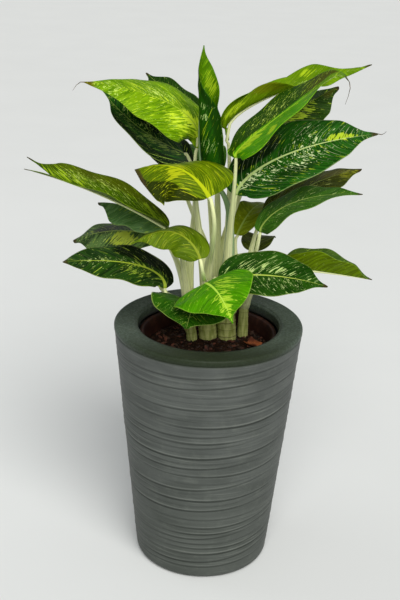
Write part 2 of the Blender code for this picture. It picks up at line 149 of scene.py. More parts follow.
# Each leaf's shape, as in the part's source.
LEAVES = {
    "leaf_crown_left": dict(
        shoot="shoot_centre_left", base=(-0.031, 0.019, 0.803), tip=(-0.223, -0.03, 0.922), arch=0.043,
        crest=0.32, width=0.122, widest=0.36, face=((0, -0.5, 0.9), (0, -0.5, 0.9)), fold=(-2, -10),
        cup=(-40, -20), drip=0.6, drawn=0.7, lobe=0.01),
    "leaf_back_high_left": dict(
        shoot="shoot_back", base=(-0.022, 0.06, 0.836), tip=(-0.128, 0.13, 0.912), arch=0.0,
        width=0.078, widest=0.45, face=((0, 0, 1), (0, -0.3, 0.9))),
    "leaf_left_shaded": dict(
        shoot="shoot_left", base=(-0.055, 0.05, 0.786), tip=(-0.206, 0.08, 0.892), arch=-0.006,
        sway=-0.025, width=0.15, widest=0.36, face=((0, -0.3, 1), (0, -0.2, 1)), fold=(2, 22),
        drip=0.72, skew=-0.12, lobe=0.022),
    "leaf_back_left": dict(
        shoot="shoot_back", base=(-0.06, 0.1, 0.728), tip=(-0.15, 0.22, 0.77), arch=0.03, width=0.09),
    "leaf_young": dict(
        shoot="shoot_centre", base=(0.009, 0.01, 0.73), tip=(-0.024, -0.01, 0.986), arch=-0.027,
        crest=0.25, width=0.126, widest=0.33, face=((1, 0.4, 0), (0.8, -1, 0)), fold=(0, 0),
        cup=(240, 370, 390, 390, 380, 330, 190, 110, 40), wave=0.001, lobe=0.0, drip=0.86, stalk=1.5,
        roll=-0.14),
    "leaf_crown_right": dict(
        shoot="shoot_centre", base=(0.024, 0.058, 0.809), tip=(0.273, 0.078, 0.948), arch=0.038,
        crest=0.24, width=0.08, widest=0.5, face=((0, 0.1, 1), (0, -0.4, 1)), fold=(0, 0),
        cup=(350, 330, 50, -5, -20), lobe=0.0, wave=0.01, waves=1.5, phase=0.2, drip=0.66, drawn=0.2,
        skew=0.08),
    "leaf_right_bright": dict(
        shoot="shoot_centre", base=(0.037, -0.046, 0.804), tip=(0.221, -0.036, 0.967), arch=0.01,
        crest=0.22, width=0.125, widest=0.38, face=((0, -0.18, 0.8), (0, 0.05, 1)), fold=(4, 10),
        hook=0.03, lobe=0.004, drawn=0.75, skew=0.07),
    "leaf_right_behind": dict(
        shoot="shoot_back", base=(0.085, 0.08, 0.79), tip=(0.223, 0.12, 0.9), arch=0.012, width=0.08,
        widest=0.55, face=((0, -0.6, 0.8), (0, -0.6, 0.8)), fold=(-35, -35)),
    "leaf_right_large": dict(
        shoot="shoot_centre", base=(0.041, -0.01, 0.728), tip=(0.281, -0.01, 0.845), arch=0.031,
        crest=0.38, width=0.121, widest=0.42, face=((0, -0.7, 0.7), (0, -0.5, 0.8)), fold=(-5, 4)),
    "leaf_right_olive": dict(
        shoot="shoot_right", base=(0.098, 0.07, 0.668), tip=(0.27, 0.07, 0.761), arch=0.014, width=0.11,
        widest=0.5, face=((0, -0.2, 1), (0, -0.1, 1)), fold=(5, -12)),
    "leaf_right_middle": dict(
        shoot="shoot_right", base=(0.086, -0.02, 0.664), tip=(0.259, -0.04, 0.745), arch=0.029,
        crest=0.4, width=0.088, face=((0, -0.3, 1), (0, 0, 1)), fold=(-5, 10)),
    "leaf_back_right": dict(
        shoot="shoot_right", base=(0.049, 0.08, 0.624), tip=(0.122, 0.2, 0.643), arch=0.03, width=0.06),
    "leaf_back_low": dict(
        shoot="shoot_right", base=(0.082, 0.12, 0.58), tip=(0.112, 0.21, 0.57), arch=0.02, width=0.06),
    "leaf_front_high": dict(
        shoot="shoot_centre_left", base=(-0.007, -0.126, 0.757), tip=(-0.132, -0.106, 0.794), arch=0.02,
        crest=0.5, sway=0.026, width=0.15, widest=0.5, skew=0.22,
        face=((-0.25, -0.3, 0.75), (0, -0.2, 1)), fold=(-6, -26), cup=(-30, -30), lobe=0.0, drip=0.9),
    "leaf_left_long": dict(
        shoot="shoot_left", base=(-0.077, -0.03, 0.669), tip=(-0.324, -0.06, 0.777), arch=0.01,
        width=0.096, widest=0.46, face=((0, -0.1, 1), (0, -0.1, 1)), fold=(25, 22), fork=0.82),
    "leaf_left_slender": dict(
        shoot="shoot_left", base=(-0.087, 0.0, 0.657), tip=(-0.206, 0.02, 0.697), arch=0.015,
        width=0.075, widest=0.6, face=((0, -0.2, 1), (0, -0.2, 1)), fold=(-35, -35)),
    "leaf_left_lower": dict(
        shoot="shoot_left", base=(-0.094, 0.04, 0.629), tip=(-0.257, 0.06, 0.609), arch=0.016,
        width=0.085, widest=0.6, face=((0, -0.4, 0.9), (0, -0.4, 0.9)), fold=(-20, -20)),
    "leaf_front_olive": dict(
        shoot="shoot_centre_left", base=(-0.019, -0.118, 0.645), tip=(-0.136, -0.124, 0.67), arch=0.03,
        crest=0.45, sway=0.02, width=0.072, face=((-0.2, -0.5, 0.9), (0, -0.2, 1)), fold=(-5, -35),
        cup=(-20, -30), lobe=0.018),
    "leaf_left_lowest": dict(
        shoot="shoot_left", base=(-0.08, -0.05, 0.563), tip=(-0.258, -0.08, 0.618), arch=0.024,
        crest=0.3, sway=0.015, width=0.098, face=((0.1, -0.35, 1), (0, -0.35, 1)), fold=(0, -5),
        drip=0.9),
    "leaf_right_low": dict(
        shoot="shoot_centre", base=(0.014, -0.05, 0.586), tip=(0.201, -0.12, 0.602), arch=0.012,
        crest=0.5, width=0.102, face=((0, -0.5, 0.9), (0, -0.5, 0.9)), fold=(12, 0)),
    "leaf_right_lowest": dict(
        shoot="shoot_right", base=(0.134, 0.04, 0.578), tip=(0.299, 0.02, 0.565), arch=0.002,
        width=0.094, face=((0, 0.2, 1), (0, 0.2, 1)), fold=(58, 40), lobe=0.004),
    "leaf_front_bright": dict(
        shoot="shoot_centre_left", base=(-0.009, -0.09, 0.591), tip=(0.038, -0.22, 0.571), arch=0.015,
        width=0.142, widest=0.3, face=((-0.35, -0.15, 1), (-0.35, -0.15, 1)), fold=(-5, 0), lobe=0.022),
    "leaf_front_lowest": dict(
        shoot="shoot_centre_left", base=(-0.024, -0.075, 0.544), tip=(-0.039, -0.165, 0.531),
        arch=0.012, width=0.148, widest=0.35, face=((0.1, -0.1, 1), (0.1, -0.1, 1)), lobe=0.02),
    "leaf_hidden_right": dict(
        shoot="shoot_back", base=(0.05, 0.11, 0.7), tip=(0.17, 0.27, 0.72), arch=0.03, width=0.09),
    "leaf_hidden_left": dict(
        shoot="shoot_left", base=(-0.1, 0.09, 0.518), tip=(-0.22, 0.18, 0.51), arch=0.025, width=0.07),
    "leaf_hidden_back": dict(
        shoot="shoot_back", base=(-0.01, 0.12, 0.72), tip=(-0.04, 0.29, 0.73), arch=0.035, width=0.085),
    "leaf_hidden_low_right": dict(
        shoot="shoot_right", base=(0.099, 0.1, 0.545), tip=(0.2, 0.2, 0.5), arch=0.02, width=0.075),
}
BLADE_USUAL = dict(
    crest=0.5, sway=0.0, face=((0, 0, 1), (0, 0, 1)), fold=(10, 0), cup=(0, 0), wave=0.003, waves=2.5,
    phase=0.0, widest=0.4, lobe=0.012, hook=0.0, stalk=1.0, roll=0.0, fork=0.0,
    drip=0.78, drawn=0.3, skew=0.0,
)

# The dried threads at leaf tips, by their points' steps from the tip.
THREAD = 0.0008
THREADS = {
    "leaf_crown_left": ((-0.006, 0, 0.000), (-0.013, -0.002, -0.005), (-0.019, -0.003, -0.014)),
    "leaf_right_bright": ((0.002, 0, -0.010), (0.000, 0.001, -0.024), (-0.004, 0.002, -0.038)),
    "leaf_right_large": ((0.006, 0, -0.001), (0.010, 0, 0.001), (0.014, 0, 0.005)),
}

# Each leaf's paint in screen colours from 0 to 255: its ground, a lighter ground, its feathering and
# flecks, its underside and its midrib. feathering and reach say how thick the strokes out of the midrib
# lie and how far they go, flecking how thick the flecks lie, slant and curl how the veins sweep forward,
# grain and spots how fine the marbling and the flecks are, and sheen how much it mirrors light.
# A patch is (t, across, its length in t, its width in across, what, how much).
# A "dark" patch is painted shade, where the blade lies in shadow.
DRIED = (58, 48, 22)
PAINT_USUAL = dict(
    ground=(32, 66, 8), light=(50, 90, 16), feather=(140, 168, 52), fleck=(180, 204, 110),
    under=(80, 104, 30), rib=(156, 180, 84), rib_width=0.0022, feathering=0.04, reach=0.6, flecking=0.01,
    slant=0.6, curl=8.0, veins=0.12, margin=0.3, gloss=0.4, sheen=0.06, tip=0.9, grain=(150, 24),
    spots=(190, 120), wisps=0.5, patches=(),
)
PAINTS = {
    "leaf_crown_left": dict(
        ground=(78, 120, 3), light=(116, 156, 10), feather=(204, 232, 50), fleck=(206, 234, 110),
        under=(104, 144, 20), rib=(160, 192, 52), rib_width=0.0015, feathering=0.05, reach=1.2,
        flecking=0.035, slant=0.9, curl=10.0, veins=0.0, sheen=0.04, tip=0.0, grain=(200, 60),
        spots=(260, 90), patches=((0.22, -0.42, 0.24, 0.34, "feather", 0.13),
        (0.19, 0.0, 0.09, 0.24, "feather", 0.24), (0.06, 0.15, 0.12, 0.5, "feather", 0.18),
        (0.45, 0.35, 0.16, 0.4, "fleck", 0.06), (0.84, -0.2, 0.14, 1.2, "fleck", 0.08),
        (1.0, 0.0, 0.09, 4.0, "brown", 1.0))),
    "leaf_back_high_left": dict(
        ground=(20, 48, 4), light=(34, 66, 8), feathering=0.0),
    "leaf_left_shaded": dict(
        ground=(15, 54, 3), light=(30, 84, 5), feather=(176, 208, 84), fleck=(180, 206, 110),
        feathering=0.0, reach=0.5, flecking=0.02, slant=0.9, sheen=0.05,
        patches=((0.3, -0.16, 0.18, 0.26, "feather", 0.13), (0.12, -0.2, 0.1, 0.2, "feather", 0.11),
        (0.3, -0.9, 0.6, 0.45, "dark", 0.7), (0.45, 0.4, 0.35, 0.45, "dark", 0.5),
        (0.45, 0.0, 0.36, 0.9, "fleck", 0.08))),
    "leaf_back_left": dict(
        ground=(10, 22, 4), light=(18, 34, 6), rib=(70, 90, 44), feathering=0.0, flecking=0.0,
        margin=0.7),
    "leaf_young": dict(
        ground=(66, 106, 2), light=(85, 130, 4), feather=(160, 192, 30), fleck=(176, 206, 120),
        under=(30, 80, 6), rib=(82, 122, 24), rib_width=0.0014, feathering=0.03, flecking=-0.02,
        slant=1.6, veins=0.0, sheen=0.05, tip=0.0, spots=(260, 170),
        patches=((0.77, 0.55, 0.11, 0.4, "feather", 0.16), (0.63, -0.5, 0.035, 0.22, "fleck", 0.15),
        (0.56, -0.46, 0.035, 0.2, "fleck", 0.15), (0.63, -0.8, 0.03, 0.16, "fleck", 0.12),
        (0.37, -0.42, 0.08, 0.34, "fleck", 0.11), (0.45, -0.8, 0.6, 0.24, "dark", 0.6))),
    "leaf_crown_right": dict(
        ground=(82, 118, 4), light=(104, 140, 7), feather=(168, 196, 30), under=(104, 138, 7),
        rib=(134, 168, 30), feathering=0.02, reach=1.0, flecking=0.0, slant=1.4, sheen=0.04,
        patches=((0.13, 0.67, 0.09, 0.3, "feather", 0.24), (0.61, -0.67, 0.05, 0.3, "feather", 0.14),
        (0.57, -0.08, 0.05, 0.3, "fleck", 0.12), (0.36, 0.85, 0.12, 0.3, "brown", 0.45))),
    "leaf_right_bright": dict(
        ground=(64, 132, 3), light=(84, 152, 6), feather=(170, 206, 34), fleck=(180, 204, 90),
        under=(70, 94, 10), rib=(164, 206, 46), rib_width=0.0026, feathering=0.03, reach=0.8,
        flecking=0.0, slant=0.9, patches=((0.42, -0.62, 0.6, 0.66, "dark", 1.3),
        (0.4, -0.5, 0.3, 0.5, "fleck", 0.1), (0.33, 0.6, 0.06, 0.26, "feather", 0.2),
        (0.16, 0.1, 0.2, 0.34, "feather", 0.16), (0.92, 0.0, 0.36, 1.6, "brown", 0.45))),
    "leaf_right_behind": dict(
        ground=(28, 54, 3), light=(40, 72, 5), feather=(176, 206, 50), rib=(140, 160, 70),
        feathering=0.0, flecking=0.0, slant=1.0, margin=0.8,
        patches=((0.5, 0.1, 0.34, 0.5, "feather", 0.16), (0.9, 0.1, 0.1, 0.5, "brown", 0.4))),
    "leaf_right_large": dict(
        ground=(17, 62, 4), light=(34, 90, 12), feather=(184, 210, 46), fleck=(214, 232, 170),
        rib=(200, 222, 140), rib_width=0.0027, feathering=0.0, reach=0.5, flecking=0.015, slant=0.3,
        curl=16.0, veins=0.45, sheen=0.12, spots=(130, 80),
        patches=((0.78, -0.12, 0.13, 0.26, "feather", 0.18), (0.57, -0.35, 0.16, 0.6, "fleck", 0.07),
        (0.5, 0.28, 0.22, 0.44, "fleck", 0.1), (0.24, 0.3, 0.14, 0.4, "fleck", 0.09),
        (0.1, 0.1, 0.13, 0.3, "fleck", 0.13), (0.24, -0.6, 0.22, 0.5, "dark", 0.9),
        (0.4, 0.6, 0.3, 0.3, "dark", 0.4))),
    "leaf_right_olive": dict(
        ground=(46, 57, 3), light=(62, 72, 5), feather=(140, 144, 36), fleck=(170, 182, 96),
        under=(108, 108, 18), feathering=0.01, reach=0.8, flecking=0.02, slant=1.1,
        patches=((0.55, 0.3, 0.25, 0.5, "fleck", 0.09), (0.8, -0.3, 0.25, 0.6, "brown", 0.5),
        (0.9, 0.2, 0.14, 1.0, "feather", 0.16))),
    "leaf_right_middle": dict(
        ground=(43, 86, 12), light=(60, 104, 24), fleck=(176, 198, 120), under=(36, 52, 8),
        feathering=0.0, flecking=0.03, slant=1.2, sheen=0.04,
        patches=((0.35, 0.1, 0.3, 0.4, "fleck", 0.05),)),
    "leaf_back_right": dict(
        ground=(110, 126, 8), light=(126, 142, 16), under=(116, 126, 10)),
    "leaf_back_low": dict(
        ground=(62, 72, 22), light=(78, 88, 30), under=(66, 74, 20)),
    "leaf_front_high": dict(
        ground=(66, 90, 2), light=(106, 130, 5), feather=(172, 182, 20), fleck=(176, 190, 40),
        rib=(178, 192, 20), rib_width=0.0036, feathering=0.05, reach=1.2, flecking=0.0, slant=1.5,
        curl=4.0, veins=0.0, sheen=0.04, grain=(240, 30),
        patches=((0.52, 0.02, 0.16, 0.5, "feather", 0.14), (0.66, -0.86, 0.9, 0.5, "dark", 1.8),
        (0.34, 0.5, 0.3, 0.5, "fleck", 0.05), (0.4, -0.6, 0.5, 0.5, "feather", 0.04))),
    "leaf_left_long": dict(
        ground=(42, 68, 2), light=(70, 100, 3), feather=(150, 180, 30), fleck=(176, 196, 90),
        rib=(146, 176, 36), rib_width=0.0036, feathering=0.03, reach=1.2, slant=1.6, veins=0.2,
        sheen=0.04, grain=(200, 26), patches=((0.74, 0.3, 0.2, 0.34, "feather", 0.12),
        (0.1, 0.45, 0.16, 0.5, "feather", 0.12), (0.55, 0.45, 0.4, 0.5, "fleck", 0.09),
        (0.4, 0.9, 0.6, 0.5, "brown", 0.3))),
    "leaf_left_slender": dict(
        ground=(66, 104, 48), light=(90, 126, 70), feathering=0.0, flecking=0.0, gloss=0.35,
        sheen=0.22),
    "leaf_left_lower": dict(
        ground=(34, 60, 16), light=(84, 114, 52), feather=(176, 194, 60), feathering=0.0, flecking=0.03,
        sheen=0.22, grain=(150, 40), patches=((0.4, -0.4, 0.22, 0.6, "feather", 0.2),
        (0.62, 0.3, 0.2, 0.6, "dark", 0.5))),
    "leaf_front_olive": dict(
        ground=(68, 92, 4), light=(90, 114, 12), feather=(140, 152, 34), rib=(136, 150, 38),
        feathering=0.04, reach=1.2, flecking=0.0, slant=1.0, sheen=0.04, tip=0.0),
    "leaf_left_lowest": dict(
        ground=(15, 42, 4), light=(36, 70, 12), feather=(160, 186, 60), fleck=(186, 208, 130),
        rib=(166, 186, 56), rib_width=0.0028, feathering=0.02, reach=0.7, slant=0.8, sheen=0.1,
        patches=((0.3, -0.3, 0.2, 0.5, "feather", 0.1), (0.62, 0.05, 0.34, 0.26, "fleck", 0.09),
        (0.22, 0.7, 0.4, 0.6, "dark", 0.8))),
    "leaf_right_low": dict(
        ground=(19, 55, 3), light=(36, 76, 8), feather=(190, 215, 130), fleck=(196, 216, 140),
        rib=(184, 204, 88), rib_width=0.0026, feathering=0.01, slant=0.7, sheen=0.08, spots=(240, 110),
        patches=((0.3, -0.3, 0.2, 0.5, "feather", 0.1), (0.58, -0.25, 0.18, 0.25, "feather", 0.1),
        (0.62, 0.4, 0.3, 0.45, "fleck", 0.06))),
    "leaf_right_lowest": dict(
        ground=(56, 84, 24), light=(74, 100, 32), under=(104, 132, 3), feathering=0.0, flecking=0.0),
    "leaf_front_bright": dict(
        ground=(60, 122, 2), light=(76, 142, 4), feather=(172, 212, 54), fleck=(184, 216, 80),
        rib=(184, 224, 78), rib_width=0.0028, feathering=0.03, reach=0.9, flecking=0.0, slant=0.45,
        sheen=0.04, tip=0.0, patches=((0.3, -0.36, 0.24, 0.42, "feather", 0.13),
        (0.62, -0.1, 0.22, 0.34, "feather", 0.14), (0.82, 0.1, 0.14, 0.6, "feather", 0.12))),
    "leaf_front_lowest": dict(
        ground=(25, 66, 3), light=(40, 84, 8), fleck=(166, 200, 96), flecking=0.03, margin=0.6,
        patches=((0.6, 0.2, 0.4, 0.6, "fleck", 0.05),)),
}


# Node maths.


class Reading:
    """A number that changes over a surface: a socket of a coat's nodes, with the signs of arithmetic."""

    def __init__(self, coat, socket):
        self.coat, self.socket = coat, socket

    def __add__(self, other):
        return self.coat.maths("ADD", self, other)

    def __sub__(self, other):
        return self.coat.maths("SUBTRACT", self, other)

    def __rsub__(self, other):
        return self.coat.maths("SUBTRACT", other, self)

    def __mul__(self, other):
        return self.coat.maths("MULTIPLY", self, other)

    def __truediv__(self, other):
        return self.coat.maths("DIVIDE", self, other)

    def __pow__(self, other):
        return self.coat.maths("POWER", self, other)

    def __abs__(self):
        return self.coat.maths("ABSOLUTE", self)

    __radd__, __rmul__ = __add__, __mul__


def screen(red, green, blue):
    """A screen colour from 0 to 255 as a linear colour."""
    shares = [value / 255 for value in (red, green, blue)]
    linear = [s / 12.92 if s <= 0.04045 else ((s + 0.055) / 1.055) ** 2.4 for s in shares]
    return (*linear, 1.0)


def tinted(colour, share, lift=0):
    """A screen colour made darker or lighter by a share, and then lifted."""
    return [min(255, share * part + lift) for part in colour]


class Coat:
    """A material and its nodes."""

    def __init__(self, name, roughness=0.5, **finish):
        self.material = bpy.data.materials.new(name)
        self.material.use_nodes = True
        self.tree = self.material.node_tree
        self.shader = self.tree.nodes["Principled BSDF"]
        self.shader.inputs["Roughness"].default_value = roughness
        for socket, value in finish.items():
            self.shader.inputs[socket.replace("_", " ")].default_value = value

    def node(self, kind, settings, values, output=0):
        """A node of a kind, its settings made first, then its sockets' values or links."""
        node = self.tree.nodes.new(kind)
        for setting, value in settings.items():
            setattr(node, setting, value)
        for socket, value in values.items():
            if isinstance(value, Reading):
                self.tree.links.new(value.socket, node.inputs[socket])
            else:
                node.inputs[socket].default_value = value
        return Reading(self, node.outputs[output])

    def maths(self, operation, *values):
        return self.node("ShaderNodeMath", {"operation": operation}, dict(enumerate(values)))

    def wave(self, value):
        return self.maths("SINE", value)

    def place(self):
        return self.node("ShaderNodeTexCoord", {}, {}, "Object")

    def parts(self, vector):
        split = self.node("ShaderNodeSeparateXYZ", {}, {0: vector})
        return [Reading(self, socket) for socket in split.socket.node.outputs]

    def attribute(self, name):
        """The three numbers of a piece's own attribute."""
        return self.parts(self.node("ShaderNodeAttribute", {"attribute_name": name}, {}, "Vector"))

    def point(self, x, y, z):
        return self.node("ShaderNodeCombineXYZ", {}, {0: x, 1: y, 2: z})

    def noise(self, vector, scale=1.0, detail=2.0, roughness=0.5, distortion=0.0):
        values = {"Vector": vector, "Scale": scale, "Detail": detail, "Roughness": roughness}
        return self.node("ShaderNodeTexNoise", {}, {**values, "Distortion": distortion})

    def rise(self, value, low, high):
        """0 below low and 1 above high, smooth between them."""
        values = {"Value": value, "From Min": low, "From Max": high}
        return self.node("ShaderNodeMapRange", {"interpolation_type": "SMOOTHSTEP"}, values)

    def mix(self, share, first, second):
        """The first colour, turning into the second with the share; plain ones are screen colours."""
        first, second = [c if isinstance(c, Reading) else screen(*c) for c in (first, second)]
        return self.node("ShaderNodeMix", {"data_type": "RGBA"}, {0: share, 6: first, 7: second}, 2)

    def over(self, colour, *layers):
        """A colour with layers over it, each given as its share and its own colour."""
        for share, paint in layers:
            colour = self.mix(share, colour, paint)
        return colour

    def bump(self, height, distance, strength=1.0):
        values = {"Height": height, "Distance": distance, "Strength": strength}
        return self.node("ShaderNodeBump", {}, values)

    def feed(self, **sockets):
        for socket, value in sockets.items():
            self.tree.links.new(value.socket, self.shader.inputs[socket.replace("_", " ")])
        return self.material


# Coats.


class Blade:
    """What a leaf's two coats share: its veins' run, its noises and where its patches lie."""

    def __init__(self, coat, name, look, seed):
        self.coat = coat
        self.x, y, self.across = coat.attribute("blade")
        self.t = coat.attribute("lay")[0]
        self.away, self.side = abs(self.x), abs(self.across)
        self.vein = y - look.slant * self.away - look.curl * self.away * self.away
        self.seed = seed + 10.0 * list(LEAVES).index(name)
        self.pushes = {}
        for *place, kind, much in look.patches:
            self.pushes[kind] = self.mask(*place) * much + self.push(kind)
        self.marble = self.strokes(*look.grain, 3, detail=3)
        self.streak = self.strokes(260, 60, 5, detail=3, roughness=0.6, distortion=0.4)
        # Painted shade over the dark patches.
        self.shade = coat.rise(self.push("dark") + 0.25 * self.marble, 0.25, 0.7)
        self.dried = coat.rise(self.t + 0.02 * self.marble, 0.955, 0.985) * look.tip
        self.ridges = coat.wave(self.vein * (2 * math.pi / VEIN_STEP))

    def mask(self, middle_t, middle_across, long, wide):
        """1 in the middle of an oval patch of the blade, 0 outside it."""
        reach = ((self.t - middle_t) / long) ** 2 + ((self.across - middle_across) / wide) ** 2
        return 1 - self.coat.rise(reach, 0.1, 1.0)

    def push(self, kind):
        """How strong the patches of a kind are at each place."""
        return self.pushes.get(kind, 0.0)

    def strokes(self, along, out, shift, detail=2.0, roughness=0.5, distortion=0.0):
        """Noise drawn out along the veins: along and out are its waves in a metre."""
        spot = self.coat.point(self.vein * along, self.x * out, self.seed + shift)
        return self.coat.noise(spot, 1.0, detail, roughness, distortion)


def painted(name):
    """A leaf's paint: the usual settings and its own."""
    return SimpleNamespace(**{**PAINT_USUAL, **PAINTS.get(name, {})})


def leaf_top(name):
    """The upper side: a marbled ground, painted shade where its dark patches lie, feathers out of the
    midrib, flecks along the veins, and a pale midrib."""
    look = painted(name)
    coat = Coat(name + "_top", roughness=look.gloss, Specular_IOR_Level=look.sheen)
    blade = Blade(coat, name, look, 0.0)
    side, marble = blade.side, blade.marble
    broad = blade.strokes(26, 18, 0)
    cluster = coat.rise(blade.strokes(38, 30, 1), 0.42, 0.62)
    blot = blade.strokes(*look.spots, 7, detail=3.5, roughness=0.62, distortion=1.2)
    dot = blade.strokes(420, 260, 8, detail=1)
    wisp = blade.strokes(420, 60, 11, detail=2, distortion=0.3)
    near = 1 - coat.rise(side, 0.0, look.reach)
    stroke = blade.streak + look.feathering * near * (0.5 + cluster) + blade.push("feather")
    speck = look.flecking * (0.4 + 1.3 * cluster) + blade.push("fleck")
    lines = coat.rise(coat.wave(blade.vein * (2 * math.pi / LINE_STEP) + 5.0 * broad), 0.90, 1.0)
    fading = coat.rise(side, 0.02, 0.15) * (1 - coat.rise(side, 0.55, 0.95)) * cluster
    half = look.rib_width * (1.05 - blade.t) ** 1.2
    rib = 1 - coat.rise(blade.away / half, 0.7, 1.2)
    light = coat.rise(0.6 * marble + 0.4 * broad, 0.42, 0.58)
    colour = coat.over(
        coat.mix(light, look.ground, look.light),
        (coat.rise(wisp, 0.56, 0.64) * look.wisps, tinted(look.light, 1.22, 6)),
        # Painted shade: the ground darkened where the dark patches lie.
        (blade.shade * 0.93, tinted(look.ground, 0.42)),
        (blade.push("brown"), (92, 84, 6)),
        (lines * fading * look.veins, look.fleck),
        (coat.rise(stroke, 0.62, 0.68) * 0.9, look.feather),
        (coat.rise(blot + speck, 0.69, 0.72), look.fleck),
        (coat.rise(dot + 0.8 * speck, 0.72, 0.76) * 0.8, look.fleck),
        (coat.rise(side, 0.965, 0.99) * look.margin, look.rib),
        (rib * 0.95, look.rib),
        (blade.dried, DRIED),
    )
    furrow = blade.ridges * coat.rise(side, 0.05, 0.3)
    height = 0.5 * furrow + 0.6 * blade.strokes(900, 60, 9, detail=1) - 1.2 * rib
    satin = look.gloss - 0.05 + 0.14 * marble
    return coat.feed(Base_Color=colour, Roughness=satin, Normal=coat.bump(height, 0.0004, 0.6))


def leaf_underside(name):
    """The underside: paler and duller, with raised veins and the same marks showing through."""
    look = painted(name)
    coat = Coat(name + "_underside", roughness=0.55, Specular_IOR_Level=0.8 * look.sheen)
    blade = Blade(coat, name, look, 300.0)
    under = look.under
    blot = blade.strokes(200, 120, 7, detail=3, roughness=0.6, distortion=1.0)
    ridges = coat.rise(blade.ridges, 0.8, 1.0) * (1 - coat.rise(blade.side, 0.6, 0.95))
    colour = coat.over(
        coat.mix(coat.rise(blade.marble, 0.42, 0.58), tinted(under, 0.8), under),
        # Painted shade, fainter on the underside.
        (blade.shade * 0.6, tinted(under, 0.5)),
        (blade.push("brown"), (112, 104, 12)),
        (coat.rise(blade.streak + blade.push("feather"), 0.62, 0.68) * 0.8, look.feather),
        (coat.rise(blot + blade.push("fleck"), 0.69, 0.72) * 0.9, look.fleck),
        (ridges * 0.25, tinted(under, 1.2, 10)),
        (blade.dried, DRIED),
    )
    height = ridges + 0.4 * blade.marble
    return coat.feed(Base_Color=colour, Normal=coat.bump(height, 0.0005, 0.7))


def stalk_coat(name, pale, olive):
    """A leaf stalk's skin: cream green, with darker lines and mottles along it and an olive foot."""
    coat = Coat(name, roughness=0.42, Specular_IOR_Level=0.2)
    turn, along, share = coat.attribute("stalk")
    line = coat.noise(coat.point(turn * 3.5, along * 9, 0.0), detail=3)
    mottle = coat.noise(coat.point(turn * 1.5, along * 60, 4.0), detail=3, roughness=0.6)
    foot = 1 - coat.rise(share + 0.15 * mottle, 0.04, 0.22)
    colour = coat.over(
        coat.mix(coat.rise(line, 0.42, 0.62), pale, tinted(pale, 0.88)),
        (coat.rise(mottle, 0.60, 0.74) * 0.4, olive),
        (foot * 0.5, olive),
    )
    height = line + 0.5 * mottle
    return coat.feed(Base_Color=colour, Normal=coat.bump(height, 0.0004, 0.5))


def cane_coat(name, scarred):
    """A cane's bark: pale green, with ring scars and corky flecks, darker the more it is scarred."""
    coat = Coat(name, roughness=0.6, Specular_IOR_Level=0.2)
    turn, along, ring = coat.attribute("stalk")
    line = coat.noise(coat.point(turn * 2.5, along * 30, 0.0), detail=3)
    cork = coat.noise(coat.point(turn * 4, along * 260, 2.0), detail=2)
    colour = coat.over(
        coat.mix(coat.rise(line, 0.4, 0.65), (184, 190, 116), (142, 152, 76)),
        (coat.rise(cork, 0.6, 0.7) * (0.2 + 0.4 * scarred), (112, 96, 56)),
        (coat.rise(ring, 0.5, 0.95) * scarred, (60, 50, 26)),
    )
    return coat.feed(Base_Color=colour, Normal=coat.bump(cork + line, 0.0008, 0.6))


def planter_coat():
    """Matt dark resin: fine mottling, tiny drawn lines, and at each rib a painted shadow line under it
    and a painted highlight along its top, with painted shade towards the wall's foot and on the rim's
    front.
    """
    coat = Coat("ribbed_planter_resin", roughness=0.5, Specular_IOR_Level=0.1)
    spot = coat.place()
    x, y, z = coat.parts(spot)
    rib = coat.attribute("rib")[0]
    drawn = coat.noise(coat.point(x * 7, y * 7, (z + 0.03 * x) * 330), detail=2)
    threads = coat.noise(coat.point(x * 12, y * 12, (z + 0.05 * x) * 900), detail=1)
    mottle = coat.noise(spot, 55.0, detail=4, roughness=0.6)
    grain = coat.noise(spot, 260.0, detail=2, roughness=0.6)
    cloud = coat.noise(coat.point(x * 9, y * 9, z * 24), detail=3)
    groove = PLANTER_HEIGHT - RIM_BAND
    wall = 1 - coat.rise(z, groove - 0.004, groove)
    resin = coat.over(
        coat.mix(coat.rise(cloud, 0.35, 0.65), (74, 78, 75), (86, 90, 87)),
        # Painted shade: the wall darkens towards the bottom.
        ((1 - coat.rise(z, 0.0, 0.42)) * 0.45, (66, 71, 64)),
        (coat.rise(mottle, 0.5, 0.72) * 0.25, (100, 105, 98)),
        (coat.rise(drawn, 0.58, 0.70) * wall * 0.30, (116, 121, 114)),
        ((1 - coat.rise(drawn, 0.30, 0.42)) * wall * 0.25, (60, 64, 60)),
        # Painted highlight along the top of each rib and painted shadow line under it, read from the rib
        # relief.
        (coat.rise(rib, 0.25, 0.62) * 0.42, (124, 129, 122)),
        (coat.rise(0 - rib, 0.18, 0.55) * 0.75, (44, 48, 44)),
    )
    rim = coat.over(
        coat.mix(coat.rise(grain, 0.40, 0.64), (68, 78, 68), (86, 98, 88)),
        (coat.rise(mottle, 0.55, 0.75) * 0.5, (92, 99, 88)),
        # Painted shade: the rim darkens towards its front, where the leaves shade it.
        ((1 - coat.rise(y, -0.16, -0.04)) * 0.85, (32, 40, 20)),
    )
    rough = 0.36 + 0.14 * cloud + 0.08 * mottle
    height = (0.8 * drawn + 0.25 * threads) * wall + 0.12 * mottle + 0.10 * grain
    relief = coat.bump(height, 0.0012, 0.6)
    return coat.feed(Base_Color=coat.mix(wall, rim, resin), Roughness=rough, Normal=relief)


def pot_coat():
    """Thin dark red-brown moulded plastic with a dusty bloom."""
    coat = Coat("red_brown_plastic", roughness=0.5, Specular_IOR_Level=0.25)
    dust = coat.noise(coat.place(), 60.0, detail=4)
    colour = coat.mix(coat.rise(dust, 0.45, 0.7), (44, 21, 15), (68, 38, 27))
    relief = coat.bump(dust, 0.0004, 0.4)
    return coat.feed(Base_Color=colour, Roughness=0.4 + 0.3 * dust, Normal=relief)


